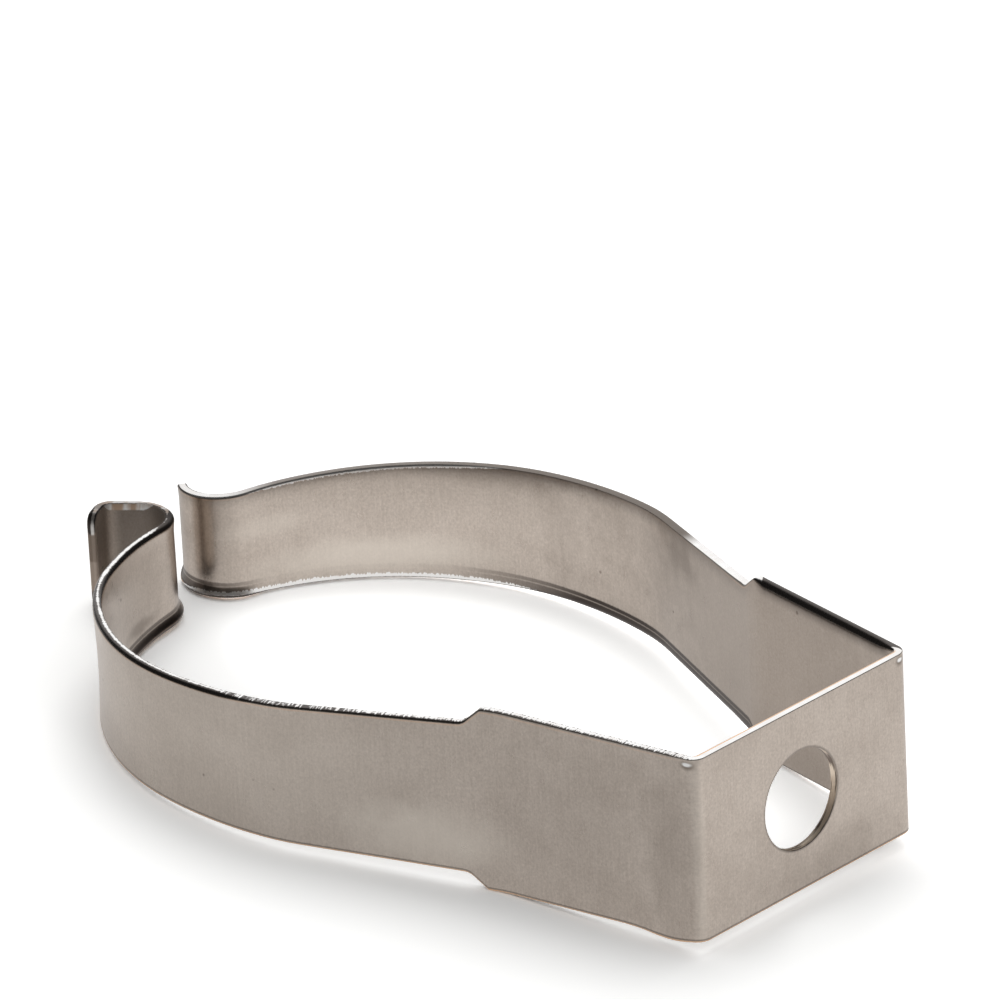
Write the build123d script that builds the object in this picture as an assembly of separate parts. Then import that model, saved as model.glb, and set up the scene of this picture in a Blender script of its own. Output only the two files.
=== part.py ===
import os
from math import radians, tan

from build123d import *

# Clip folded from one strip. The origin is the middle of the screw hole on the base plate's outer face,
# +X points out of the plate, the mouth is towards -X and the width of the strip runs along Z.
# Sizes are in mm and angles in degrees. A bend's radius is the one on its inside.

thickness = 0.5
base_width = 15.7             # over the base plate, between the sharp corners of its outer faces
hole_diameter = 5.3
hole_offset = 0.36            # from the middle of the plate towards the hook

# Width of the strip: full at the base and walls, a step in both edges, then arms that narrow to the mouth
full_width = 10.0
hook_side_full_run = 12.45    # from the base plate's outer face to the step, along X
lip_side_full_run = 11.6
step_depth = 0.85
step_ramp = 0.9
step_outer_radius = 0.3
step_inner_radius = 0.8
mouth_width = 5.4             # where the hook turns back
hook_corner_radius = 0.6      # corners of the strip's two ends
lip_corner_radius = 0.4

# Walls splay out of the base plate, and an elbow leans the arms out further
base_bend_radius = 0.3
wall_splay = 9.8
wall_length = 11.0
elbow_radius = 1.75
elbow_angle = 12.7
arm_length = 11.1

# Each arm comes round the tube by a crease, a flat bow and a tight bow
crease_radius = 2.75
crease_angle = 8.0
flat_bow_radius = 20.4
flat_bow_angle = 21.3
tight_bow_radius = 14.7
lip_arm_turn_in = 73.0        # direction of the lip's arm at the mouth, inwards from straight ahead
hook_arm_turn_in = 83.0

lip_radius = 1.9
lip_angle = 120.0
hook_radius = 2.0
hook_angle = 117.6
hook_back_length = 1.05
flange_bend_radius = 0.45
flange_bend_angle = 81.0
flange_length = 1.2

match = 0.01                  # two places this close are the same place


class StripPath:
    # The middle of the sheet in plan, drawn from the middle of the base plate towards the mouth
    def __init__(self, start, corner):
        self.edges = [Line(start, corner)]

    def end(self):
        return self.edges[-1] @ 1

    def length(self):
        return sum(edge.length for edge in self.edges)

    def run(self, length):
        direction = self.edges[-1] % 1
        self.edges.append(Line(self.end(), self.end() + direction * length))

    def bend(self, inside_radius, angle):
        # Left for a positive angle, seen from above
        direction = self.edges[-1] % 1
        self.edges.append(JernArc(self.end(), direction, inside_radius + thickness / 2, angle))


def draw_arm(turn_in):
    # Base plate, wall and arm on the +Y side, and how far out and along the elbow and the flat bow end
    base_bend_angle = 90 - wall_splay
    setback = (base_bend_radius + thickness) * tan(radians(base_bend_angle / 2))
    path = StripPath((-thickness / 2, 0), (-thickness / 2, base_width / 2 - setback))
    path.bend(base_bend_radius, base_bend_angle)
    path.run(wall_length)
    path.bend(elbow_radius, -elbow_angle)
    elbow = (path.end().X, path.length())
    path.run(arm_length)
    path.bend(crease_radius, crease_angle)
    path.bend(flat_bow_radius, flat_bow_angle)
    bow = (path.end().X, path.length())
    path.bend(tight_bow_radius, wall_splay + elbow_angle - crease_angle - flat_bow_angle + turn_in)
    return path, elbow, bow


def draw_lip_side():
    path, _, _ = draw_arm(lip_arm_turn_in)
    path.bend(lip_radius, -lip_angle)
    return path


def draw_hook_side():
    path, elbow, bow = draw_arm(hook_arm_turn_in)
    path.bend(hook_radius, -hook_angle)
    hook = (path.end().X, path.length())
    path.run(hook_back_length)
    path.bend(flange_bend_radius, -flange_bend_angle)
    path.run(flange_length)
    return path, elbow, bow, hook


def fold_sheet(path):
    return extrude(trace(path.edges, thickness), full_width / 2, both=True)


def side_outline(full_run, elbow, bow, hook, front_x, mouth_x):
    # The strip seen from the side. The arms narrow evenly along the bent strip, so their edges look bowed
    step_x = -full_run
    arm_x = step_x - step_ramp
    arm_width = full_width - 2 * step_depth
    arm_start = elbow[1] + elbow[0] - arm_x
    bow_share = (bow[1] - arm_start) / (hook[1] - arm_start)
    bow_width = arm_width + (mouth_width - arm_width) * bow_share
    upper = Polyline((front_x, 0), (front_x, full_width / 2), (step_x, full_width / 2), (arm_x, arm_width / 2))
    taper = ThreePointArc((arm_x, arm_width / 2), (bow[0], bow_width / 2), (mouth_x, mouth_width / 2))
    close = Line((mouth_x, mouth_width / 2), (mouth_x, 0))
    half = [upper, taper, close]
    outline = make_face(half + [mirror(line, Plane.XZ) for line in half])
    for x, radius in ((step_x, step_outer_radius), (arm_x, step_inner_radius)):
        outline = fillet(outline.vertices().filter_by_position(Axis.X, x - match, x + match), radius)
    return outline


def round_end(side, end, radius):
    # Rounds the short edges across the sheet at the strip's end
    def stands_at_end(edge):
        place = edge.center()
        return abs(edge.length - thickness) < match and (place - Vector(end.X, end.Y, place.Z)).length < match

    return fillet(side.edges().filter_by(stands_at_end), radius)


def make_clip():
    lip_path = draw_lip_side()
    hook_path, elbow, bow, hook = draw_hook_side()
    lip_sheet, hook_sheet = fold_sheet(lip_path), fold_sheet(hook_path)
    box = (lip_sheet + hook_sheet).bounding_box()

    def cut_side(sheet, full_run, end, end_radius):
        outline = side_outline(full_run, elbow, bow, hook, box.max.X + thickness, box.min.X - thickness)
        return round_end(sheet & extrude(Plane.XZ * outline, box.size.Y, both=True), end, end_radius)

    lip_side = cut_side(lip_sheet, lip_side_full_run, lip_path.end(), lip_corner_radius)
    hook_side = cut_side(hook_sheet, hook_side_full_run, hook_path.end(), hook_corner_radius)
    strip = lip_side + mirror(hook_side, Plane.XZ)
    strip -= Pos(0, -hole_offset, 0) * Rot(0, 90, 0) * Cylinder(hole_diameter / 2, 2 * thickness + match)
    return Pos(0, hole_offset, 0) * strip


os.makedirs("parts", exist_ok=True)
export_step(make_clip(), "parts/tube_clip.step")
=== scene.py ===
from math import cos, pi, radians, sin, tan

import bmesh
import bpy
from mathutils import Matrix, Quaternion, Vector


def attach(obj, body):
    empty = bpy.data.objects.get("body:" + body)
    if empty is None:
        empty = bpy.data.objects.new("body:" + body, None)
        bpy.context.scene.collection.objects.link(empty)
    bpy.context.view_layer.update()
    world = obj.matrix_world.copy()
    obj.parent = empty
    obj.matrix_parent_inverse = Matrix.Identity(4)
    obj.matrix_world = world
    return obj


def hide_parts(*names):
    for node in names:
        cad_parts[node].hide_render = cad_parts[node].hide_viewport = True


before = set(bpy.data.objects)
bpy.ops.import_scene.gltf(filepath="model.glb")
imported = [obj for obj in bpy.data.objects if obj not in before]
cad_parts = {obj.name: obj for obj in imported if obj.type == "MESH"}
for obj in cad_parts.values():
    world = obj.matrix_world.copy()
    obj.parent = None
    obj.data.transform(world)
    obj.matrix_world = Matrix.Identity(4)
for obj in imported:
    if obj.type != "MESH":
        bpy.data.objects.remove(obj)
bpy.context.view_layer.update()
print("frame loaded")

mm = 0.001


# Nodes as Python expressions, for shaders and for Geometry Nodes

class Wire:
    def __init__(self, graph, socket):
        self.graph = graph
        self.socket = socket

    def math(self, operation, *others):
        return self.graph.math(operation, self, *others)

    def __add__(self, other):
        return self.math("ADD", other)

    def __radd__(self, other):
        return self.math("ADD", other)

    def __sub__(self, other):
        return self.math("SUBTRACT", other)

    def __rsub__(self, other):
        return self.graph.math("SUBTRACT", other, self)

    def __mul__(self, other):
        return self.math("MULTIPLY", other)

    def __rmul__(self, other):
        return self.math("MULTIPLY", other)

    def __truediv__(self, other):
        return self.math("DIVIDE", other)

    def clamped(self):
        settings = {"operation": "ADD", "use_clamp": True}
        return self.graph.node("ShaderNodeMath", settings, {0: self, 1: 0.0})

    def between(self, low, high):
        # 0 below low, 1 above high, smooth on the way
        sockets = {"Value": self, "From Min": low, "From Max": high, "To Min": 0.0, "To Max": 1.0}
        return self.graph.node("ShaderNodeMapRange", {"interpolation_type": "SMOOTHSTEP"}, sockets)

    def within(self, low, high, fade):
        # 1 from low to high, fading to 0 over the same length on both sides
        return self.between(low - fade, low) * (1.0 - self.between(high, high + fade))


class Graph:
    def __init__(self, tree):
        self.tree = tree
        tree.nodes.clear()

    def node(self, kind, settings=None, values=None, output=0):
        made = self.tree.nodes.new(kind)
        for name, value in (settings or {}).items():
            setattr(made, name, value)
        for name, value in (values or {}).items():
            socket = made.inputs[name]
            if isinstance(value, Wire):
                self.tree.links.new(value.socket, socket)
            else:
                socket.default_value = value
        return Wire(self, made.outputs[output]) if made.outputs else made

    def outputs(self, wire, *names):
        return [Wire(self, wire.socket.node.outputs[name]) for name in names]

    def math(self, operation, *values):
        return self.node("ShaderNodeMath", {"operation": operation}, dict(enumerate(values)))

    def vector(self, operation, *values):
        return self.node("ShaderNodeVectorMath", {"operation": operation}, dict(enumerate(values)))

    def scaled(self, value, factor):
        return self.node("ShaderNodeVectorMath", {"operation": "SCALE"}, {0: value, "Scale": factor})

    def mixed(self, share, low, high):
        settings = {"data_type": "RGBA"}
        return self.node("ShaderNodeMix", settings, {"Factor": share, "A": low, "B": high}, "Result")


# Plan of the strip in mm, as folded

strip = {
    "thickness": 0.5,
    "baseWidth": 15.7,
    "holeRadius": 2.65,
    "holeOffset": 0.36,
    "fullWidth": 10.0,
    "hookSideFullRun": 12.45,
    "lipSideFullRun": 11.6,
    "stepDepth": 0.85,
    "stepRamp": 0.9,
    "stepOuterRadius": 0.3,
    "stepInnerRadius": 0.8,
    "mouthWidth": 5.4,
    "hookCornerRadius": 0.6,
    "lipCornerRadius": 0.4,
    "baseBendRadius": 0.3,
    "wallSplay": 9.8,
    "wallLength": 11.0,
    "elbowRadius": 1.75,
    "elbowAngle": 12.7,
    "armLength": 11.1,
    "creaseRadius": 2.75,
    "creaseAngle": 8.0,
    "flatBowRadius": 20.4,
    "flatBowAngle": 21.3,
    "tightBowRadius": 14.7,
    "lipArmTurnIn": 73.0,
    "hookArmTurnIn": 83.0,
    "lipRadius": 1.9,
    "lipAngle": 120.0,
    "hookRadius": 2.0,
    "hookAngle": 117.6,
    "hookBack": 1.05,
    "flangeRadius": 0.45,
    "flangeAngle": 81.0,
    "flangeLength": 1.2,
    "elbowEasing": 0.7,       # how far a crease is softened, on both sides of it
    "creaseEasing": 0.9,
    "pathStep": 0.2,          # between two points of the plan on a straight
    "pathTurn": 0.75,         # and on a bend, in degrees
}


def eased(points, start, end, reach):
    # Softens a crease: the sheet's middle near it moves to its own mean over the reach on both sides
    places = [0.0]
    for here, ahead in zip(points, points[1:]):
        places.append(places[-1] + (ahead - here).length)

    def pointAt(place):
        last = next(k for k in range(1, len(places)) if places[k] >= place or k == len(places) - 1)
        share = (place - places[last - 1]) / (places[last] - places[last - 1])
        return points[last - 1].lerp(points[last], share)

    samples = 4               # to each side
    soft = []
    for point, place in zip(points, places):
        off = max(start - place, place - end, 0.0)
        span = reach * max(0.0, 1 - off / (2 * reach))
        near = [point]
        if span:
            near = [pointAt(place + span * k / samples) for k in range(-samples, samples + 1)]
        soft.append(sum(near, Vector((0, 0))) / len(near))
    return soft


def drawSide(hook):
    # Middle of the sheet from the middle of the plate to one end, on the +Y side
    s = strip
    baseAngle = 90 - s["wallSplay"]
    setback = (s["baseBendRadius"] + s["thickness"]) * tan(radians(baseAngle / 2))
    turnIn = s["hookArmTurnIn"] if hook else s["lipArmTurnIn"]
    bowTurn = s["wallSplay"] + s["elbowAngle"] - s["creaseAngle"] - s["flatBowAngle"] + turnIn
    moves = [
        ("plate", s["baseWidth"] / 2 - setback, None),
        ("baseBend", s["baseBendRadius"], baseAngle),
        ("wall", s["wallLength"], None),
        ("elbow", s["elbowRadius"], -s["elbowAngle"]),
        ("arm", s["armLength"], None),
        ("crease", s["creaseRadius"], s["creaseAngle"]),
        ("flatBow", s["flatBowRadius"], s["flatBowAngle"]),
        ("tightBow", s["tightBowRadius"], bowTurn),
    ]
    if hook:
        moves += [
            ("hook", s["hookRadius"], -s["hookAngle"]),
            ("hookBack", s["hookBack"], None),
            ("flangeBend", s["flangeRadius"], -s["flangeAngle"]),
            ("flange", s["flangeLength"], None),
        ]
    else:
        moves.append(("lip", s["lipRadius"], -s["lipAngle"]))
    place = Vector((-s["thickness"] / 2, 0))
    heading = radians(90)
    travelled = 0.0
    points = [place.copy()]
    marks = {}
    for name, size, angle in moves:
        if angle is None:
            count = max(2, round(size / s["pathStep"]))
            for _ in range(count):
                place = place + Vector((cos(heading), sin(heading))) * (size / count)
                points.append(place.copy())
            travelled += size
        else:
            radius = size + s["thickness"] / 2
            count = max(4, round(abs(angle) / s["pathTurn"]))
            turn = radians(angle) / count
            chord = 2 * radius * sin(abs(turn) / 2)
            for _ in range(count):
                heading += turn / 2
                place = place + Vector((cos(heading), sin(heading))) * chord
                heading += turn / 2
                points.append(place.copy())
            travelled += radius * radians(abs(angle))
        marks[name] = travelled
    points = eased(points, marks["wall"], marks["elbow"], s["elbowEasing"])
    return eased(points, marks["arm"], marks["crease"], s["creaseEasing"]), marks


def travelTo(points, run):
    # Distance along the strip to where it first stands this far out of the plate's outer face
    travelled = 0.0
    for here, ahead in zip(points, points[1:]):
        step = (ahead - here).length
        if -ahead.x >= run:
            return travelled + step * (run + here.x) / (here.x - ahead.x)
        travelled += step
    return travelled


def roundedCorner(before, corner, after, radius, steps=6):
    into = (Vector(corner) - Vector(before)).normalized()
    out = (Vector(after) - Vector(corner)).normalized()
    turn = into.angle(out)
    reach = radius * tan(turn / 2)
    start = Vector(corner) - into * reach
    side = 1 if into.x * out.y - into.y * out.x > 0 else -1
    normal = Vector((-into.y, into.x)) * side
    centre = start + normal * radius
    return [tuple(centre - normal * radius * cos(turn * k / steps) + into * radius * sin(turn * k / steps))
            for k in range(steps + 1)]


def drawOutline(points, marks, fullRun, cornerRadius):
    # Half width of the strip against the distance from the middle of the plate
    s = strip
    stepStart = travelTo(points, fullRun)
    armStart = travelTo(points, fullRun + s["stepRamp"])
    full, arm = s["fullWidth"] / 2, s["fullWidth"] / 2 - s["stepDepth"]
    mouth = s["mouthWidth"] / 2
    narrowing = (arm - mouth) / (hookMarks["hook"] - armStart)
    end = max(marks.values())
    taperEnd = min(end, hookMarks["hook"])
    atEnd = arm - narrowing * (taperEnd - armStart)
    outline = [(0.0, full)]
    outline += roundedCorner((0, full), (stepStart, full), (armStart, arm), s["stepOuterRadius"])
    outline += roundedCorner((stepStart, full), (armStart, arm), (taperEnd, atEnd), s["stepInnerRadius"])
    if end > taperEnd:
        outline.append((taperEnd, atEnd))
        before = (taperEnd, atEnd)
    else:
        before = (armStart, arm)
    return outline + roundedCorner(before, (end, atEnd), (end, 0), cornerRadius, steps=7)


lipPoints, lipMarks = drawSide(hook=False)
hookPoints, hookMarks = drawSide(hook=True)
hookLength, lipLength = max(hookMarks.values()), max(lipMarks.values())
outlines = {
    -1: drawOutline(hookPoints, hookMarks, strip["hookSideFullRun"], strip["hookCornerRadius"]),
    1: drawOutline(lipPoints, lipMarks, strip["lipSideFullRun"], strip["lipCornerRadius"]),
}
planPoints = [Vector((p.x, -p.y)) for p in hookPoints[:0:-1]] + lipPoints
planPoints = [p + Vector((0, strip["holeOffset"])) for p in planPoints]


def valueAt(place, stops):
    # Straight lines between stops, each a place and its value
    for (x0, v0), (x1, v1) in zip(stops, stops[1:]):
        if place <= x1:
            return v0 + (v1 - v0) * max(0.0, place - x0) / (x1 - x0) if x1 > x0 else v1
    return stops[-1][1]


def halfWidth(along):
    return valueAt(abs(along), outlines[1 if along > 0 else -1])


# The flat blank: a closed sheet with its hole, cut corners and worn arrises.
# Places along it are in mm from the middle of the plate, and the hook's side is negative

blank = {
    "columnSpacing": 0.25,
    "columnGap": 0.03,        # columns closer than this are one
    "bendStep": 6.0,          # degrees of a bend between two columns
    "edgeRows": (0.45, 0.65, 0.9, 1.2, 1.6),     # rows that follow the edges, in mm from them
    "middleRows": 7,          # from the last of them to the middle
    "holePatch": 5.0,         # half length of the plate that is laid out round the hole
    "holeRings": 9,
    "holeCrowding": 0.75,     # below 1, the rings stand closer at the hole
    "roundSteps": 5,
    "wallSteps": 3,
    "endReach": 1.0,
    "slopeReach": 0.02,       # over which the slope of the flared sheet is read, on both sides
    # Rounding of the arrises in mm, as stops along the strip: outside of the clip and inside of it
    "upperOuter": [(-66, 0.12), (-65, 0.12), (-64.6, 0.03), (-60.8, 0.03), (-59.8, 0.14), (-50, 0.12),
        (-46, 0.25), (-34, 0.25), (-32, 0.12), (-21, 0.12), (-19.5, 0.06), (-6.5, 0.04), (7, 0.04),
        (36, 0.06), (60, 0.1)],
    "upperInner": [(-66, 0.12), (-62, 0.2), (-58.5, 0.26), (-50, 0.26), (-46, 0.05), (-8.5, 0.06),
        (-6.5, 0.1), (7.5, 0.12), (9, 0.36), (18.2, 0.38), (19.2, 0.08), (20, 0.03), (41, 0.03),
        (45, 0.11), (60, 0.1)],
    "lowerOuter": [(-66, 0.12), (-58, 0.06), (-8, 0.12), (7, 0.1), (60, 0.1)],
    "lowerInner": [(-66, 0.12), (-62, 0.2), (-50, 0.2), (7, 0.15), (20, 0.25), (22, 0.38), (38, 0.36),
        (44, 0.12), (60, 0.1)],
    "holeOuter": 0.06,
    "holeInner": 0.14,
}
# How the folded sheet leaves its plan. Bows are saddles: their middle stands in towards the clip's inside.
# Bends flare at their edges, also inwards
shape = {
    "endPush": 0.02,          # sets the hook's end back by as much as its face ripples
    "endPlace": (61.0, 63.0), # where that begins and is whole, on the hook's side
    # From, to, fade and amount
    "saddles": [(-56.0, -36.0, 5.0, 0.10), (36.0, 54.0, 5.0, 0.10)],
    # From, to, fade, amount at the upper edge, at the lower, and reach across
    "flares": [(-61.5, -54.0, 3.0, 0.10, 0.34, 0.95), (56.5, 60.4, 2.0, 0.05, 0.22, 0.8)],
    # The lower edge of the hook's side bulges down beside the base bend
    "bulge": [(-12, 0), (-11.2, 0.03), (-10.6, 0.1), (-10, 0.2), (-9.4, 0.25), (-8.8, 0.24),
        (-8.3, 0.16), (-7.8, 0.06), (-7.2, 0)],
    "bulgeReach": 1.8,        # across, from that edge
}


# Marks along the two long edges, as stops along the strip.
# outerReach and innerReach: share of the cut's thickness that is dark, from the clip's outside and its
# inside, torn, and at the far wall's top painted shade
# dull: painted shade over the whole cut. blur: what is added to its roughness. ragged: its teeth
# line: a thin dark line on both faces. band: a painted dark band on the inside face. fade: a painted soft
# shade on it
# glint: how far painted bright teeth reach into the inside face, or at the hook into the outside one, in mm
edgeMarks = {
    "upper": {
        "outerReach": [(-66, 0.2), (-52, 0.2), (-47, 0.62), (-34.5, 0.62), (-33, 0.42), (-21, 0.42),
            (-19.5, 0.36), (-9, 0.3), (-7.5, 0), (7.5, 0), (8.6, 1.2), (18.2, 1.2), (18.8, 0), (30, 0),
            (60.4, 0.15)],
        "innerReach": [(-66, 0.5), (-64.6, 0.05), (-61, 0.05), (-60.2, 0.8), (-58.6, 0.8), (-57.8, 0.45),
            (-50, 0.45), (-47, 0.1), (7.5, 0.1), (8.6, 0.3), (18.2, 0.3), (19, 0.15), (24, -0.05),
            (27, -0.2), (44, -0.2), (58, -0.05), (60.4, 0.2)],
        "dull": [(-66, 0.35), (-65.6, 0.35), (-65.3, 0.85), (-64.9, 0.8), (-64.5, 0.25), (-61, 0.25),
            (-60.2, 0.7), (-58.5, 0.5), (-57.5, 0), (26, 0), (27.5, 0.92), (42, 0.92), (46, 0.85),
            (54, 0.8), (57, 0.1)],
        "blur": [(-66, 0.3), (-60.5, 0.35), (-59, 0.15), (-57.5, 0), (26, 0), (27.5, 0.35), (54, 0.3),
            (57, 0.1)],
        "ragged": [(-34.5, 0.1), (-33.5, 1), (-28, 1), (-26, 0.45), (-12, 0.5), (-8, 0.68), (-7.4, 0),
            (34, 0), (36, 0.3), (44, 0.3), (46, 0)],
        "line": [(-46, 0), (-45, 0.5), (-21, 0.5), (-19.5, 0.4), (-9, 0.3), (-8, 0), (19, 0), (20, 0.4),
            (24, 0.1), (48, 0.1), (60.4, 0.3)],
        "band": [(-66, 0), (60.4, 0)],
        "fade": [(8, 0), (8.6, 0.9), (18.2, 0.9), (18.9, 0.15), (22, 0.3), (30, 0.45), (42, 0.5),
            (48, 0.35), (60.4, 0.3)],
        "glint": [(-64.9, 0), (-64.5, 0.46), (-62.3, 0.46), (-61.7, 0), (41, 0), (44, 0.17), (54, 0.17),
            (57, 0)],
    },
    "lower": {
        "outerReach": [(-66, 0.3), (-46, 0.6), (-8, 0.6), (-7, 0.3), (7, 0.3), (8, 0.6), (60.4, 0.6)],
        "innerReach": [(-66, 0.5), (-50, 0.5), (-8, 0.3), (8, 0.3), (19, 0.9), (38, 0.9), (42, 0.5),
            (58, 0.5), (58.6, 0.8), (60.4, 0.8)],
        "dull": [(-66, 0.3), (8, 0.3), (19, 0.6), (60.4, 0.6)],
        "blur": [(-66, 0.1), (60.4, 0.1)],
        "ragged": [(-46, 0.3), (-8, 0.3), (-7, 0), (36, 0), (42, 1), (59.5, 1), (60.4, 0.6)],
        "line": [(-66, 0.3), (-58, 0.7), (-8, 0.8), (7, 0.8), (8, 0.7), (60.4, 0.7)],
        "band": [(-60, 0), (-59, 0.65), (-50, 0.65), (-48, 0), (18, 0), (20, 1), (36, 1), (41, 0.5),
            (45, 0.05), (55, 0.05), (57, 0.6), (60.4, 0.9)],
        "fade": [(-66, 0.4), (-58.5, 0.5), (-50, 0.5), (-46, 0), (18, 0), (20, 0.2), (38, 0.2), (44, 0)],
        "glint": [(37, 0), (42, 0.28), (52, 0.33), (56, 0.3), (58.5, 0.26), (60, 0)],
    },
}


def smooth(value, low, high):
    share = min(1.0, max(0.0, (value - low) / (high - low)))
    return share * share * (3 - 2 * share)


def pushAt(along, across):
    half = halfWidth(along)
    push = shape["endPush"] * smooth(-along, *shape["endPlace"])
    for start, end, fade, amount in shape["saddles"]:
        share = smooth(along, start - fade, start) * (1 - smooth(along, end, end + fade))
        push -= share * amount * (1 - min(1.0, abs(across) / half) ** 2)
    for start, end, fade, upper, lower, reach in shape["flares"]:
        share = smooth(along, start - fade, start) * (1 - smooth(along, end, end + fade))
        gap = max(0.0, half - abs(across))
        if share and gap < reach:
            push -= share * (upper if across > 0 else lower) * (1 - gap / reach) ** 2
    return push


def bulgeAt(along, across):
    share = max(0.0, 1 - (halfWidth(along) + across) / shape["bulgeReach"])
    return valueAt(along, shape["bulge"]) * share ** 2


def columnPlaces():
    places = {0.0}
    for side, marks in ((-1, hookMarks), (1, lipMarks)):
        last = 0.0
        for name, mark in marks.items():
            spans = max(1, round((mark - last) / blank["columnSpacing"]))
            angle = strip.get(name + "Angle")
            if name == "baseBend":
                angle = 90 - strip["wallSplay"]
            if angle:
                spans = max(spans, round(angle / blank["bendStep"]))
            places |= {side * (last + (mark - last) * k / spans) for k in range(1, spans + 1)}
            last = mark
        places |= {side * x for x, _ in outlines[side]}
    fixed = {-blank["holePatch"], blank["holePatch"], -hookLength, lipLength, 0.0}
    kept = []
    for place in sorted(places | fixed):
        if kept and place - kept[-1] < blank["columnGap"]:
            if place in fixed:
                kept[-1] = place
            continue
        kept.append(place)
    return kept


columns = columnPlaces()
columnCount, rows = len(columns), 2 * (len(blank["edgeRows"]) + blank["middleRows"])
patchFrom = columns.index(-blank["holePatch"])
patchTo = columns.index(blank["holePatch"])


def fromEdge(row, half):
    # Distance of a row from its edge
    row = min(row, rows - row)
    if row == 0:
        return 0.0
    if row <= len(blank["edgeRows"]):
        return blank["edgeRows"][row - 1]
    last = blank["edgeRows"][-1]
    return last + (half - last) * (row - len(blank["edgeRows"])) / blank["middleRows"]


def cellPlace(i, j):
    half = halfWidth(columns[i])
    side = 1 if j > rows / 2 else -1
    return Vector((columns[i], side * (half - fromEdge(j, half))))


def pulledIn(place, inset):
    # Leaves room for the rounding of the strip's two ends
    reach = blank["endReach"]
    for end, way in ((-hookLength, 1), (lipLength, -1)):
        gap = (place.x - end) * way
        if gap < reach:
            return Vector((end + way * (inset + gap * (1 - inset / reach)), place.y))
    return place


def loopNormals(places):
    normals = []
    for k, place in enumerate(places):
        back, ahead = places[k - 1], places[(k + 1) % len(places)]
        run = (place - back).normalized() + (ahead - place).normalized()
        normals.append(Vector((run.y, -run.x)).normalized())
    return normals


def borderCells(first, last):
    # Cells round the sheet between two columns, one after another
    cells = [(i, 0) for i in range(first, last + 1)]
    cells += [(last, j) for j in range(1, rows + 1)]
    cells += [(i, rows) for i in range(last - 1, first - 1, -1)]
    return cells + [(first, j) for j in range(rows - 1, 0, -1)]


outlineCells = borderCells(0, columnCount - 1)
patchCells = borderCells(patchFrom, patchTo)
outlinePlaces = [cellPlace(i, j) for i, j in outlineCells]
outlineNormals = loopNormals(outlinePlaces)


def rimProfile(outer, inner):
    # How far each ring round the edge lies inside the outline, and its height in the sheet
    half, steps = strip["thickness"] / 2, blank["roundSteps"]
    profile = []
    for k in range(steps + 1):
        angle = pi / 2 * k / steps
        profile.append((outer * (1 - sin(angle)), half - outer * (1 - cos(angle))))
    top, bottom = half - outer, -half + inner
    profile += [(0.0, top + (bottom - top) * k / blank["wallSteps"]) for k in range(1, blank["wallSteps"])]
    for k in range(steps + 1):
        angle = pi / 2 * (1 - k / steps)
        profile.append((inner * (1 - sin(angle)), -half + inner * (1 - cos(angle))))
    return profile


def edgeProfile(place):
    side = "upper" if place.y > 0 else "lower"
    return rimProfile(valueAt(place.x, blank[side + "Outer"]), valueAt(place.x, blank[side + "Inner"]))


def buildBlank():
    sheet = bmesh.new()
    layers = {name: sheet.verts.layers.float.new(name) for name in ("push", "gap", *edgeMarks["upper"])}
    holeCentre = Vector((-strip["holeOffset"], 0.0))
    edgeProfiles = [edgeProfile(place) for place in outlinePlaces]
    holeProfile = rimProfile(blank["holeOuter"], blank["holeInner"])

    def vertex(place, height):
        # A flared sheet also turns its edge, so that its thickness stays square to it
        reach = blank["slopeReach"]
        slope = (pushAt(place.x, place.y + reach) - pushAt(place.x, place.y - reach)) / (2 * reach)
        across = place.y - height * slope - bulgeAt(place.x, place.y)
        made = sheet.verts.new((place.x * mm, across * mm, height * mm))
        made[layers["push"]] = pushAt(place.x, place.y) * mm
        made[layers["gap"]] = halfWidth(place.x) - abs(place.y)
        for name, stops in edgeMarks["upper" if place.y > 0 else "lower"].items():
            made[layers[name]] = valueAt(place.x, stops)
        return made

    def face(*corners):
        sheet.faces.new(corners)

    def bridge(rings):
        # Faces between each closed ring and the next
        for first, second in zip(rings, rings[1:]):
            for k in range(len(first)):
                n = (k + 1) % len(first)
                face(first[k], first[n], second[n], second[k])

    def ringAt(step):
        return [vertex(place - normal * profile[step][0], profile[step][1])
                for place, normal, profile in zip(outlinePlaces, outlineNormals, edgeProfiles)]

    def layer(step):
        height = holeProfile[step][1]
        edge = ringAt(step)
        grid = dict(zip(outlineCells, edge))
        endInset = edgeProfiles[0][step][0]
        for i in range(1, columnCount - 1):
            for j in range(1, rows):
                if not patchFrom < i < patchTo:
                    grid[i, j] = vertex(pulledIn(cellPlace(i, j), endInset), height)
        for i in range(columnCount - 1):
            if patchFrom <= i < patchTo:
                continue
            for j in range(rows):
                face(grid[i, j], grid[i + 1, j], grid[i + 1, j + 1], grid[i, j + 1])
        outside = [grid[cell] for cell in patchCells]
        rings = [outside]
        for k in range(1, blank["holeRings"] + 1):
            share = (k / blank["holeRings"]) ** blank["holeCrowding"]
            ring = []
            for corner in outside:
                far = Vector((corner.co.x, corner.co.y)) / mm - holeCentre
                near = far.normalized() * (strip["holeRadius"] + holeProfile[step][0])
                ring.append(vertex(holeCentre + far.lerp(near, share), height))
            rings.append(ring)
        bridge(rings)
        return edge, rings[-1]

    outerEdge, outerHole = layer(0)
    innerEdge, innerHole = layer(-1)
    ways = [(Vector((v.co.x, v.co.y)) / mm - holeCentre).normalized() for v in outerHole]
    edgeRings, holeRings = [outerEdge], [outerHole]
    for step in range(1, len(holeProfile) - 1):
        inset, height = holeProfile[step]
        edgeRings.append(ringAt(step))
        holeRings.append([vertex(holeCentre + way * (strip["holeRadius"] + inset), height) for way in ways])
    bridge(edgeRings + [innerEdge])
    bridge(holeRings + [innerHole])
    bmesh.ops.recalc_face_normals(sheet, faces=sheet.faces)
    mesh = bpy.data.meshes.new("clipBlank")
    sheet.to_mesh(mesh)
    sheet.free()
    return mesh


print("plan of", round(hookLength + lipLength, 1), "mm and", columnCount, "columns laid out")


# Steel

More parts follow.
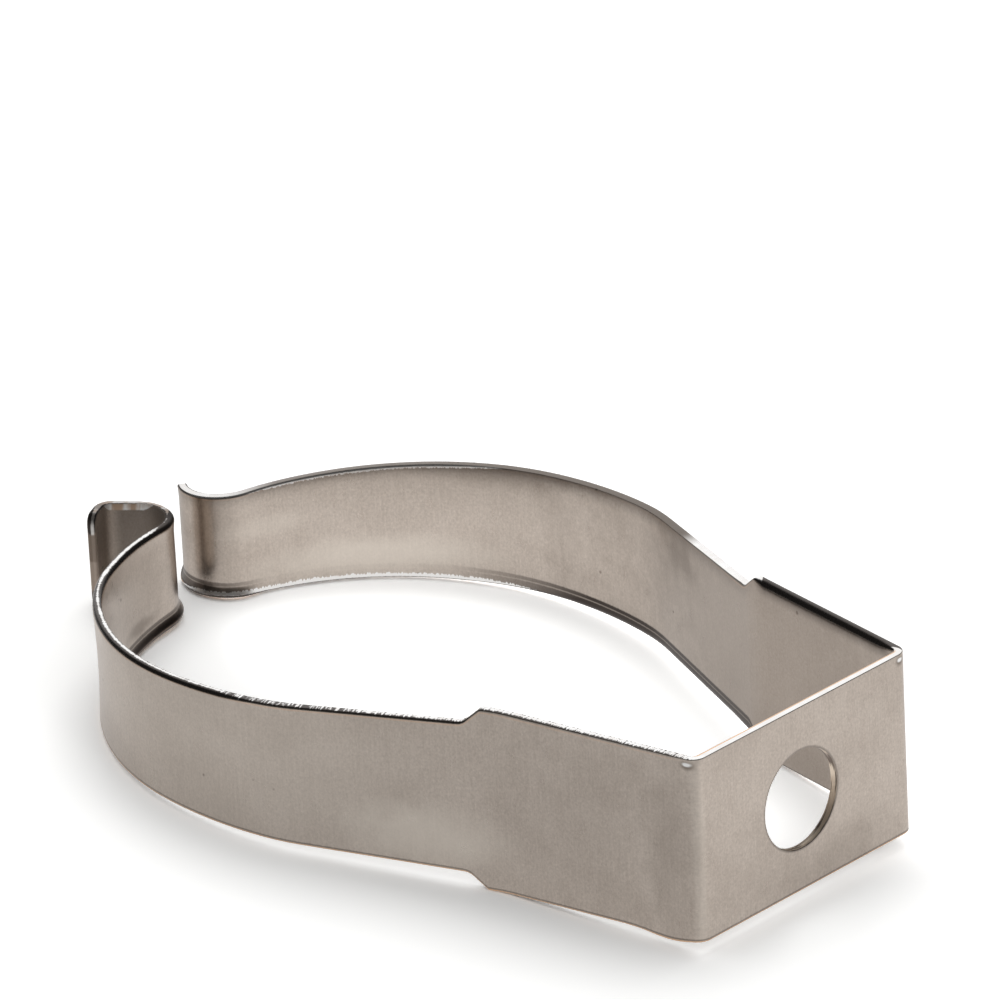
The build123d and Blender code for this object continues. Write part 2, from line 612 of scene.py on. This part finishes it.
springSteel = {
    "light": (0.605, 0.532, 0.472, 1),
    "dark": (0.503, 0.437, 0.383, 1),
    "grain": 0.5,             # how far it lightens and darkens the faces
    "roughness": 0.3,
    # colour of the pits, and of the painted shade on the faces
    "pitAndShadeColour": (0.22, 0.18, 0.15, 1),
    "pitStrength": 0.6,
    "pitCells": 0.9,          # cells per mm, and few of them hold a pit
    "pitSize": (0.05, 0.11),  # its reach in a cell, sharp and faded
    # colour of the painted highlights on the faces
    "paintedHighlightColour": (0.78, 0.71, 0.63, 1),
    "cloudBreak": 0.5,        # how far the outline of a cloud wanders, as a share of its reach
    "cloudCore": 0.2,         # share of its reach where it is at full strength
    "hollowShadeColour": (0.17, 0.14, 0.12, 1),       # painted shade on the hook's hollow side
    "hollowPlace": (-63.6, -58.5, 0.7),          # from, to and fade
    # strength of the painted shade in the hook's hollow
    "hollow": 0.6,
    "hollowBlur": 0.3,
    "bandWidth": 0.84,        # of the painted dark band, in mm
    "bandSoft": (0.04, 0.06), # how far its border reaches, inwards and outwards
    "bandLine": 0.58,         # the lighter line in it, from the edge
    "bandLineWidth": 0.04,
    "bandLineStrength": 0.5,
    "lineWidth": 0.10,        # of the line at the very edge, which has a second one beside it
    "lineSoft": 0.03,
    "besideWidth": 0.04,
    "besideFade": 0.05,
    "lowerLine": 0.7,         # strength of the line on the lower edge, against the upper one's
    "fringe": 0.6,            # strength of the brown beside the upper line
    # of the painted soft shade beside the edges, in mm
    "fadeWidth": 0.95,
    "ringWidth": (0.06, 0.16),                   # of the dark ring round the hole, sharp and faded
    "ring": 0.45,
    "edgeBreak": 0.06,        # how far the marks beside an edge wander, in mm
    "relief": 0.3,
    "reliefDepth": 0.02,
}
cutSteel = {
    "light": (0.985, 0.98, 0.97, 1),             # sheared bright, and the colour of the painted glints and bend-top highlights
    "dark": (0.06, 0.048, 0.042, 1),             # torn and burnt, and painted shade beside the edges
    "brown": (0.62, 0.47, 0.36, 1),
    # painted shade over the cut
    "dull": (0.25, 0.205, 0.17, 1),
    "fringe": (0.80, 0.50, 0.30, 1),
    "holeDark": (0.22, 0.17, 0.14, 1),
    "holeLight": (0.95, 0.82, 0.68, 1),
    "holeLowerHighlight": 0.16,        # painted highlight: how much paler the hole's wall is at its lower side
    "holeDarker": 0.05,       # and how much darker all round
    "end": (0.50, 0.42, 0.36, 1),                # the strip's two ends
    "roughness": 0.16,
    "darkStrength": 0.96,
    "fringeStrength": 0.9,
    "brownStrength": 0.15,
    "hookBrown": 0.7,
    "wave": 0.12,             # how far the dark part's border wanders, in mm
    "ragged": 1.6,            # and how far more where the cut is ragged
    "soft": 0.03,             # half the width of that border
    "glintWhole": 0.75,       # share of a glint's reach that is whole, and what its teeth add
    "glintTeeth": 0.35,
}
# Borders between parts of the flat sheet in mm, from and to
borders = {
    "cut": (0.2, 0.246),      # height from the middle of the sheet, either way
    "inside": (-0.24, -0.2),
    "outside": (0.1, 0.24),
    "halves": (-0.1, 0.1),
    "innerLine": (-0.12, -0.05),
    "outerFringe": (0.08, 0.2),
    "lower": (-0.2, 0.2),     # place across it
    # painted highlight on the hole's wall, across it
    "holeLowerHighlight": (-2.5, 0.5),
    "hook": (-59.5, -58.5),   # place along it
    "hookCut": (-58.5, -57.5),
    "plate": (7.2, 7.8),
    "ends": (30.0, 40.0),     # nearer than this, a cut across the strip is the hole's
    "cutAcross": (0.4, 0.6),  # distance from its long edges
    "underGlint": (0.05, 0.11),
}
# Levels of a noise or a mark at which a trait begins and is whole
levels = {
    "tone": (0.37, 0.63),
    "pit": (0.86, 0.9),
    "tooth": (0.46, 0.58),
    "toothed": (0.5, 0.9),
    "glint": (0.02, 0.08),
    "underGlint": (0.02, 0.2),
    "glintTooth": (0.35, 0.65),
    "glintEdge": (-0.03, 0.05),
    "glintBrown": (0.42, 0.58),
    "hookBrown": (0.4, 0.6),
    "brown": (0.35, 0.7),
    "holeRing": (0.42, 0.58),
}
# Noises on the flat sheet: turns per mm along, across and through it, detail and roughness
patterns = {
    "streaks": ((10.0, 0.3, 1.0), 4.0, 0.6),
    "speckle": ((7.0, 5.0, 4.0), 3.0, 0.6),
    "mottle": ((0.22, 0.3, 0.5), 3.0, 0.55),
    "patches": ((1.1, 0.9, 1.0), 3.0, 0.55),
    "grain": ((11.0, 8.0, 6.0), 2.0, 0.6),
    "teeth": ((4.5, 0.2, 0.5), 2.0, 0.7),
    "fineTeeth": ((9.0, 0.2, 0.5), 2.0, 0.6),
    "torn": ((1.2, 0.3, 0.5), 3.0, 0.55),
    "rings": ((0.7, 0.7, 8.0), 2.0, 0.55),
}
# Painted shade on the faces, in clouds: along, across, reach along, reach across, strength, and the face, -1
# for the inside
paintedShades = [
    (18.0, 0.0, 24.0, 20.0, 0.58, -1),
    (42.0, 3.1, 6.0, 1.2, 0.42, -1),
    (57.5, 0.0, 2.2, 8.0, 0.16, -1),
    (0.0, -3.4, 9.0, 2.4, 0.12, 1),
    (-14.0, 0.0, 6.0, 8.0, 0.10, 1),
    (38.2, 0.0, 2.0, 7.0, 0.16, -1),
    (27.5, 2.6, 2.4, 1.8, 0.30, -1),
    (-55.5, 0.0, 5.0, 5.0, 0.35, -1),
    (-55.5, -1.6, 2.4, 0.6, 0.45, -1),
    (60.4, 0.0, 2.2, 9.0, 0.65, -1),
    (3.0, -4.6, 6.0, 2.4, 0.22, 1),
    (-7.9, 4.64, 0.5, 0.36, 0.9, 1),
    (7.2, 4.64, 0.4, 0.36, 0.9, 1),
    (-9.0, -0.5, 2.0, 7.0, 0.25, 1),
]
# Painted highlights on the faces, in the same columns
paintedHighlights = [
    (49.0, -1.8, 9.0, 1.6, 0.6, -1),
    (55.0, 0.8, 3.5, 0.9, 0.3, -1),
    (-23.0, -2.4, 6.0, 2.4, 0.6, 1),
    (-34.0, 0.0, 16.0, 8.0, 0.22, 1),
    (-7.55, 0.0, 0.35, 12.0, 0.3, 1),
]
# Painted highlights on the swollen tops of the two base bends; their dark rings are painted shade among the
# clouds above
paintedSwellHighlights = [
    (-7.9, 4.7, 0.3, 0.16, 1.3, 1),
    (7.2, 4.7, 0.22, 0.16, 1.3, 1),
]


class SteelGraph(Graph):
    # Places on the flat sheet in mm, noises and masks that its faces and its cut share
    def __init__(self, tree):
        super().__init__(tree)
        self.flat = self.node("ShaderNodeAttribute", {"attribute_name": "flat"}, output="Vector")
        split = self.node("ShaderNodeSeparateXYZ", None, {0: self.flat})
        self.along, self.across, self.depth = self.outputs(split, "X", "Y", "Z")
        self.streaks = self.noise("streaks")
        self.speckle = self.noise("speckle")
        self.patches = self.noise("patches")
        self.teeth = self.noise("teeth")
        self.fineTeeth = self.noise("fineTeeth")
        self.torn = self.noise("torn")
        self.gap = self.mark("gap") + (self.speckle - 0.5) * springSteel["edgeBreak"]
        self.onCut = 1.0 - self.depth.math("ABSOLUTE").between(*borders["cut"])
        self.inside = 1.0 - self.depth.between(*borders["inside"])
        self.outside = self.depth.between(*borders["outside"])
        self.onInnerHalf = 1.0 - self.depth.between(*borders["halves"])
        self.atLower = 1.0 - self.across.between(*borders["lower"])
        self.atHook = 1.0 - self.along.between(*borders["hook"])
        self.cutAcross = self.gap.between(*borders["cutAcross"])

    def noise(self, name):
        stretch, detail, roughness = patterns[name]
        place = self.vector("MULTIPLY", self.flat, stretch)
        values = {"Vector": place, "Scale": 1.0, "Detail": detail, "Roughness": roughness}
        return self.node("ShaderNodeTexNoise", None, values)

    def mark(self, name):
        return self.node("ShaderNodeAttribute", {"attribute_name": name}, output="Fac")

    def pitMask(self):
        values = {"Vector": self.flat, "Scale": springSteel["pitCells"]}
        cells = self.node("ShaderNodeTexVoronoi", None, values)
        cellGap, cellColour = self.outputs(cells, "Distance", "Color")
        chance = self.node("ShaderNodeSeparateColor", None, {0: cellColour})
        return (1.0 - cellGap.between(*springSteel["pitSize"])) * chance.between(*levels["pit"])

    def clouds(self, places):
        # Soft patches with a broken outline, on one face each, for painted shade or painted highlights
        wander = (self.patches - 0.5) * springSteel["cloudBreak"]
        shade = 0.0
        for placeAlong, placeAcross, reachAlong, reachAcross, strength, side in places:
            gapAlong = (self.along - placeAlong) / reachAlong
            gapAcross = (self.across - placeAcross) / reachAcross
            far = (gapAlong * gapAlong + gapAcross * gapAcross).math("SQRT") + wander
            face = self.inside if side < 0 else 1.0 - self.inside
            shade = shade + (1.0 - far.between(springSteel["cloudCore"], 1.0)) * face * strength
        return shade.clamped()


def paintFace(steel, pits):
    # Mottled steel with its grain and its pits, with painted highlights and painted shade in clouds, and
    # painted shade in the hook's hollow
    tone = steel.noise("mottle") * 0.35 + steel.patches * 0.15 + steel.streaks * 0.25 + steel.speckle * 0.25
    colour = steel.mixed(tone.between(*levels["tone"]), springSteel["dark"], springSteel["light"])
    colour = steel.scaled(colour, (steel.noise("grain") - 0.5) * springSteel["grain"] + 1.0)
    # Painted highlights
    colour = steel.mixed(steel.clouds(paintedHighlights), colour, springSteel["paintedHighlightColour"])
    # Pits, and painted shade in soft clouds
    pitsAndPaintedShade = pits * springSteel["pitStrength"] + steel.clouds(paintedShades)
    colour = steel.mixed(pitsAndPaintedShade.clamped(), colour, springSteel["pitAndShadeColour"])
    # Painted highlights at the tops of the base bends
    colour = steel.mixed(steel.clouds(paintedSwellHighlights), colour, cutSteel["light"])
    # Painted shade in the hook's hollow
    hollow = steel.along.within(*springSteel["hollowPlace"]) * steel.outside * springSteel["hollow"]
    return steel.mixed(hollow, colour, springSteel["hollowShadeColour"])


def paintShadeAndLines(steel, colour):
    # Band and fade beside the edges, which are painted shade, the line and fringe there, and the ring round
    # the hole
    gap, atLower = steel.gap, steel.atLower
    width, (softIn, softOut) = springSteel["bandWidth"], springSteel["bandSoft"]
    ridge, ridgeWidth = springSteel["bandLine"], springSteel["bandLineWidth"]
    paler = gap.within(ridge, ridge + ridgeWidth, ridgeWidth) * springSteel["bandLineStrength"]
    # Painted shade: a dark band with a paler line in it, and a soft fade
    band = (1.0 - gap.between(width - softIn, width + softOut)) * (1.0 - paler)
    fade = (1.0 - gap.between(0.0, springSteel["fadeWidth"])) * steel.mark("fade")
    # The dark line is above its brown fringe on both edges
    lineMark = steel.mark("line")
    start, end = (springSteel["lineWidth"] + way * springSteel["lineSoft"] for way in (-1, 1))
    nearEdge = 1.0 - gap.between(start, end)
    offEdge = gap.within(end, end + springSteel["besideWidth"], springSteel["besideFade"])
    line = (nearEdge * (1.0 - atLower) + offEdge * atLower * springSteel["lowerLine"]) * lineMark
    upperFringe = offEdge * (1.0 - atLower) * lineMark * springSteel["fringe"]
    lowerFringe = nearEdge * atLower * lineMark
    offHoleX, offHoleY = steel.along + strip["holeOffset"], steel.across
    offHole = (offHoleX * offHoleX + offHoleY * offHoleY).math("SQRT") - strip["holeRadius"]
    ring = (1.0 - offHole.between(*springSteel["ringWidth"])) * springSteel["ring"]
    paintedShadeAndLines = band * steel.mark("band") * steel.onInnerHalf + fade * steel.inside + line + ring
    colour = steel.mixed(upperFringe, colour, cutSteel["fringe"])
    colour = steel.mixed(paintedShadeAndLines.clamped(), colour, cutSteel["dark"])
    return steel.mixed(lowerFringe, colour, cutSteel["fringe"])


def paintGlint(steel, colour):
    # Painted bright teeth that reach from the cut into the inside face, and at the hook a smooth painted
    # glint on the outside
    reach, atHook, onInnerHalf = steel.mark("glint"), steel.atHook, steel.onInnerHalf
    teeth = steel.fineTeeth.between(*levels["glintTooth"]) * cutSteel["glintTeeth"] * (1.0 - atHook)
    offGlint = steel.gap - reach * (teeth + cutSteel["glintWhole"])
    side = onInnerHalf * (1.0 - atHook) + (1.0 - onInnerHalf) * atHook
    glint = (1.0 - offGlint.between(*levels["glintEdge"])) * reach.between(*levels["glint"]) * side
    brown = atHook * (1.0 - steel.torn.between(*levels["glintBrown"]))
    colour = steel.mixed(glint, colour, steel.mixed(brown, cutSteel["light"], cutSteel["brown"]))
    nearEdge = 1.0 - steel.gap.between(*borders["underGlint"])
    under = nearEdge * reach.between(*levels["underGlint"]) * onInnerHalf * steel.atLower
    return steel.mixed(under, colour, cutSteel["dark"])


def darkMask(steel):
    # The cut is dark as far as it tore, from the outside and from the inside, and between its teeth; at the
    # far wall's top the whole cut is dark as painted shade
    thickness, soft = strip["thickness"], cutSteel["soft"]
    ragged = steel.mark("ragged")
    uneven = (steel.torn - 0.5) * cutSteel["wave"] + (steel.fineTeeth - 0.5) * ragged * cutSteel["ragged"]
    offOuter = steel.depth - thickness / 2 + steel.mark("outerReach") * thickness + uneven
    offInner = steel.depth + thickness / 2 - steel.mark("innerReach") * thickness - uneven
    toothed = steel.teeth.between(*levels["tooth"]) * ragged.between(*levels["toothed"])
    dark = offOuter.between(-soft, soft) + (1.0 - offInner.between(-soft, soft)) + toothed
    return dark.clamped() * cutSteel["darkStrength"]


def paintCut(steel, dark):
    # Bright where it was sheared and dark where it tore or where shade is painted, duller where shade is
    # painted over it, with fringes, and the cuts across the strip apart
    hookCut = 1.0 - steel.along.between(*borders["hookCut"])
    hookBrown = hookCut * steel.torn.between(*levels["hookBrown"]) * cutSteel["hookBrown"]
    brown = steel.torn.between(*levels["brown"]) * cutSteel["brownStrength"] + hookBrown
    colour = steel.mixed(brown.clamped(), cutSteel["light"], cutSteel["brown"])
    atPlate = 1.0 - steel.along.math("ABSOLUTE").between(*borders["plate"])
    innerLine = (1.0 - steel.depth.between(*borders["innerLine"])) * atPlate * cutSteel["fringeStrength"]
    colour = steel.mixed(innerLine, colour, cutSteel["fringe"])
    colour = steel.mixed(steel.mark("dull"), colour, cutSteel["dull"])
    colour = steel.mixed(dark, colour, cutSteel["dark"])
    outerFringe = steel.depth.between(*borders["outerFringe"]) * steel.atLower * cutSteel["fringeStrength"]
    colour = steel.mixed(outerFringe, colour, cutSteel["fringe"])
    # The wall of the hole is ringed, and paler towards its lower side as a painted highlight
    shade = (0.0 - steel.across).between(*borders["holeLowerHighlight"]) * cutSteel["holeLowerHighlight"]
    rings = (steel.noise("rings") + shade - cutSteel["holeDarker"]).between(*levels["holeRing"])
    holeColour = steel.mixed(rings, cutSteel["holeDark"], cutSteel["holeLight"])
    atEnd = steel.along.math("ABSOLUTE").between(*borders["ends"])
    return steel.mixed(steel.cutAcross, colour, steel.mixed(atEnd, holeColour, cutSteel["end"]))


def steelRoughness(steel, dark):
    face = springSteel["roughness"] + (steel.patches - 0.5) * 0.12 + (steel.streaks - 0.5) * 0.08
    face = face + steel.atHook * steel.outside * springSteel["hollowBlur"]
    cut = cutSteel["roughness"] + dark * 0.12 + (steel.speckle - 0.5) * 0.1 + steel.cutAcross * 0.3
    cut = cut + steel.mark("blur")
    return (face * (1.0 - steel.onCut) + cut * steel.onCut).clamped()


def steelRelief(steel, pits):
    face = steel.streaks * 0.4 + steel.speckle * 0.8 - pits * 1.5
    cut = steel.teeth * 0.7 + steel.speckle * 0.4
    height = face * (1.0 - steel.onCut) + cut * steel.onCut
    strength, depth = springSteel["relief"], springSteel["reliefDepth"] * mm
    return steel.node("ShaderNodeBump", None, {"Strength": strength, "Distance": depth, "Height": height})


def makeSpringSteel():
    material = bpy.data.materials.new("springSteel")
    material.use_nodes = True
    steel = SteelGraph(material.node_tree)
    pits, dark = steel.pitMask(), darkMask(steel)
    colour = paintGlint(steel, paintShadeAndLines(steel, paintFace(steel, pits)))
    shader = steel.node("ShaderNodeBsdfPrincipled", None, {
        "Base Color": steel.mixed(steel.onCut, colour, paintCut(steel, dark)), "Metallic": 1.0,
        "Roughness": steelRoughness(steel, dark), "Normal": steelRelief(steel, pits)})
    steel.node("ShaderNodeOutputMaterial", None, {"Surface": shader})
    return material


steelMaterial = makeSpringSteel()
print("steel made")


# Folding the blank along the plan, in Geometry Nodes

folding = {"Ripple": 0.02 * mm, "Ripple Scale": 220.0, "Seed": 3.0}


def makeFoldTree():
    tree = bpy.data.node_groups.new("foldStrip", "GeometryNodeTree")
    sockets = tree.interface
    kinds = {"Blank": "Geometry", "Plan": "Object", "Start": "Float", "Ripple": "Float",
             "Ripple Scale": "Float", "Seed": "Float", "Steel": "Material"}
    for name, kind in kinds.items():
        sockets.new_socket(name, in_out="INPUT", socket_type="NodeSocket" + kind)
    sockets.new_socket("Clip", in_out="OUTPUT", socket_type="NodeSocketGeometry")
    graph = Graph(tree)
    inputs = tree.nodes.new("NodeGroupInput")

    def given(name):
        return Wire(graph, inputs.outputs[name])

    place = graph.node("GeometryNodeInputPosition")
    flat = graph.scaled(place, 1 / mm)
    settings = {"data_type": "FLOAT_VECTOR", "domain": "POINT"}
    stored = graph.node("GeometryNodeStoreNamedAttribute", settings,
                        {"Geometry": given("Blank"), "Name": "flat", "Value": flat})
    split = graph.node("ShaderNodeSeparateXYZ", None, {0: place})
    along, across, through = graph.outputs(split, "X", "Y", "Z")
    plan = graph.node("GeometryNodeObjectInfo", None, {"Object": given("Plan")}, "Geometry")
    sample = graph.node("GeometryNodeSampleCurve", {"mode": "LENGTH", "use_all_curves": False},
                        {"Curves": plan, "Length": along + given("Start")}, "Position")
    centre, tangent = graph.outputs(sample, "Position", "Tangent")
    outward = graph.vector("NORMALIZE", graph.vector("CROSS_PRODUCT", tangent, (0.0, 0.0, 1.0)))
    settings = {"data_type": "FLOAT"}
    shaped = graph.node("GeometryNodeInputNamedAttribute", settings, {"Name": "push"}, "Attribute")
    ripple = graph.node("ShaderNodeTexNoise", {"noise_dimensions": "4D"}, {
        "Vector": place, "W": given("Seed"), "Scale": given("Ripple Scale"), "Detail": 1.0})
    push = through + shaped - ripple * given("Ripple")
    folded = graph.scaled(outward, push)
    rise = graph.node("ShaderNodeCombineXYZ", None, {"Z": across})
    folded = graph.vector("ADD", graph.vector("ADD", centre, folded), rise)
    clip = graph.node("GeometryNodeSetPosition", None, {"Geometry": stored, "Position": folded})
    clip = graph.node("GeometryNodeSetShadeSmooth", None, {0: clip})
    clip = graph.node("GeometryNodeRealizeInstances", None, {0: clip})
    clip = graph.node("GeometryNodeSetMaterial", None, {"Geometry": clip, "Material": given("Steel")})
    graph.node("NodeGroupOutput", None, {"Clip": clip})
    return tree


def makePlanCurve():
    curve = bpy.data.curves.new("clipPlan", "CURVE")
    curve.dimensions = "3D"
    spline = curve.splines.new("POLY")
    spline.points.add(len(planPoints) - 1)
    for point, place in zip(spline.points, planPoints):
        point.co = (place.x * mm, place.y * mm, 0.0, 1.0)
    planObject = bpy.data.objects.new("clipPlan", curve)
    bpy.context.scene.collection.objects.link(planObject)
    return planObject


def foldClip():
    plan = makePlanCurve()
    clip = bpy.data.objects.new("tubeClip", buildBlank())
    bpy.context.scene.collection.objects.link(clip)
    fold = clip.modifiers.new("fold", "NODES")
    fold.node_group = makeFoldTree()
    choices = {**folding, "Plan": plan, "Start": hookLength * mm, "Steel": steelMaterial}
    for item in fold.node_group.interface.items_tree:
        if item.in_out == "INPUT" and item.name in choices:
            fold[item.identifier] = choices[item.name]
    bpy.context.view_layer.update()
    depsgraph = bpy.context.evaluated_depsgraph_get()
    mesh = bpy.data.meshes.new_from_object(clip.evaluated_get(depsgraph))
    clip.modifiers.remove(fold)
    clip.data = mesh
    bpy.data.objects.remove(plan)
    return clip


clip = foldClip()
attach(clip, "root")
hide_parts("tube_clip")
print("clip folded,", len(clip.data.polygons), "faces")


# Floor, light and camera

def restPlane():
    # The clip lies on the lower corners of its steps and on its mouth end: slope along X, and height at X = 0
    stepsFrom, mouthFrom = -14 * mm, -30 * mm
    apart = 34 * mm           # roughly, so that each round comes closer
    wide = [v.co for v in clip.data.vertices if v.co.x > stepsFrom]
    ends = [v.co for v in clip.data.vertices if v.co.x < mouthFrom]
    slope = 0.0
    for _ in range(30):
        heightWide = min(p.z + slope * p.x for p in wide)
        heightEnds = min(p.z + slope * p.x for p in ends)
        slope += (heightEnds - heightWide) / apart
    return slope, heightWide


stage = {
    "floorSize": 3.0,
    "floorColour": (0.80, 0.80, 0.795, 1),
    "floorSeen": (1.23, 1.23, 1.22, 1),          # as the camera sees it, so that it shows white
    "floorMirrored": (1.0, 0.985, 0.97, 1),      # as the steel sees it
    "floorMirroredNear": (0.5, 0.495, 0.49, 1),  # where the dark side of the room begins
    "floorBeyond": (-0.02, -0.004),              # between these along Y, from the one to the other
    "floorInside": 1.6,       # painted light: how much lighter the floor is inside the clip, by the far arm
    # painted light on the floor inside the clip, as the steel mirrors it
    "mirroredInside": 1.25,
    "insidePlace": (-0.024, 0.009),
    "insideReach": (0.028, 0.013),
    "floorShaded": 0.95,      # painted shade: how much darker the floor is by the near arm
    "shadedPlace": (-0.027, -0.0078),
    "shadedReach": (0.026, 0.0068),
    "patchCore": 0.35,        # squared share of a patch's reach where it is whole
    "floorGlow": 0.5,         # share of the floor's mirrored light that no shadow dims
    "skyAmbient": 0.78,
    "panelWay": (-0.70, 0.71),                   # level direction of the white panel, as the steel mirrors it
    "panelEdge": (0.86, 0.97),                   # cosine off that direction where it begins and is white
    "panelTop": (0.65, 0.88),                    # sine of the height where it thins out and has ended
    "skyDark": 0.06,          # the ceiling and the near side of the room, as the steel mirrors them
    "keyPower": 2.5,
    "keySize": 0.6,
    "keyPlace": (-0.2, 0.35, 0.85),
    "keyAim": (-0.024, 0.0, 0.0),
}
# The camera in mm and degrees, fitted to the clip's edges
view = {
    "place": (302.37, -328.90, 225.01),
    "aim": (-23.78, 4.17, 7.96),
    "roll": -2.985,
    "sensor": 36.0,
    "focalLength": 365.08,
    "shown": (10.0, 20000.0), # nothing nearer or farther
}


def makeFloor():
    slope, height = restPlane()
    print("floor slope", round(slope, 4), "height", round(height / mm, 3))
    half = stage["floorSize"] / 2
    mesh = bpy.data.meshes.new("floor")
    corners = [(-half, -half), (half, -half), (half, half), (-half, half)]
    mesh.from_pydata([(x, y, height - slope * x) for x, y in corners], [], [(0, 1, 2, 3)])
    floor = bpy.data.objects.new("floor", mesh)
    bpy.context.scene.collection.objects.link(floor)
    paint = bpy.data.materials.new("floorPaint")
    paint.use_nodes = True
    graph = Graph(paint.node_tree)
    seen, glossy = graph.outputs(graph.node("ShaderNodeLightPath"), "Is Camera Ray", "Is Glossy Ray")
    place = graph.node("ShaderNodeTexCoord", None, None, "Object")
    floorX, floorY = graph.outputs(graph.node("ShaderNodeSeparateXYZ", None, {0: place}), "X", "Y")
    beyond = floorY.between(*stage["floorBeyond"])
    mirrored = graph.mixed(beyond, stage["floorMirroredNear"], stage["floorMirrored"])

    def patch(name):
        gapX = (floorX - stage[name + "Place"][0]) / stage[name + "Reach"][0]
        gapY = (floorY - stage[name + "Place"][1]) / stage[name + "Reach"][1]
        return 1.0 - (gapX * gapX + gapY * gapY).between(stage["patchCore"], 1.0)

    # Painted light inside the clip by the far arm, and painted shade by the near arm
    inside = patch("inside")
    seenLevel = inside * (stage["floorInside"] - 1.0) + patch("shaded") * (stage["floorShaded"] - 1.0) + 1.0
    seenColour = graph.scaled(stage["floorSeen"][:3], seenLevel)
    mirrored = graph.scaled(mirrored, inside * (stage["mirroredInside"] - 1.0) + 1.0)
    matt = graph.node("ShaderNodeBsdfDiffuse", None, {
        "Color": graph.mixed(seen, stage["floorColour"], seenColour)})
    glow = graph.node("ShaderNodeEmission", None, {"Color": mirrored})
    both = graph.node("ShaderNodeMixShader", None, {0: glossy * stage["floorGlow"], 1: matt, 2: glow})
    graph.node("ShaderNodeOutputMaterial", None, {"Surface": both})
    mesh.materials.append(paint)


def makeWorld():
    world = bpy.data.worlds.new("studio")
    world.use_nodes = True
    graph = Graph(world.node_tree)
    seen, glossy = graph.outputs(graph.node("ShaderNodeLightPath"), "Is Camera Ray", "Is Glossy Ray")
    way = graph.node("ShaderNodeTexCoord", None, None, "Generated")
    wayX, wayY, height = graph.outputs(graph.node("ShaderNodeSeparateXYZ", None, {0: way}), "X", "Y", "Z")
    levelLength = (wayX * wayX + wayY * wayY + 0.0001).math("SQRT")      # never 0, even straight up
    behind = (wayX * stage["panelWay"][0] + wayY * stage["panelWay"][1]) / levelLength
    white = behind.between(*stage["panelEdge"]) * (1.0 - height.between(*stage["panelTop"]))
    backdrop = white * (1.0 - stage["skyDark"]) + stage["skyDark"]
    strength = seen + glossy * backdrop + (1.0 - (seen + glossy).clamped()) * stage["skyAmbient"]
    light = graph.node("ShaderNodeBackground", None, {"Color": (1, 1, 1, 1), "Strength": strength})
    graph.node("ShaderNodeOutputWorld", None, {"Surface": light})
    bpy.context.scene.world = world


def makeKeyLight():
    lamp = bpy.data.lights.new("softbox", "AREA")
    lamp.energy = stage["keyPower"]
    lamp.size = stage["keySize"]
    softbox = bpy.data.objects.new("softbox", lamp)
    softbox.location = stage["keyPlace"]
    softbox.rotation_mode = "QUATERNION"
    way = Vector(stage["keyAim"]) - softbox.location
    softbox.rotation_quaternion = way.to_track_quat("-Z", "Y")
    softbox.visible_glossy = False
    bpy.context.scene.collection.objects.link(softbox)


def makeCamera():
    place = Vector(view["place"]) * mm
    aim = Vector(view["aim"]) * mm
    lens = bpy.data.cameras.new("camera")
    lens.sensor_width = view["sensor"]
    lens.lens = view["focalLength"]
    lens.clip_start = view["shown"][0] * mm
    lens.clip_end = view["shown"][1] * mm
    camera = bpy.data.objects.new("camera", lens)
    camera.location = place
    camera.rotation_mode = "QUATERNION"
    upright = (aim - place).to_track_quat("-Z", "Y")
    camera.rotation_quaternion = upright @ Quaternion((0, 0, 1), radians(view["roll"]))
    bpy.context.scene.collection.objects.link(camera)
    bpy.context.scene.camera = camera


makeFloor()
makeWorld()
makeKeyLight()
makeCamera()
bpy.context.scene.view_settings.view_transform = "Standard"
print("floor, light and camera set")
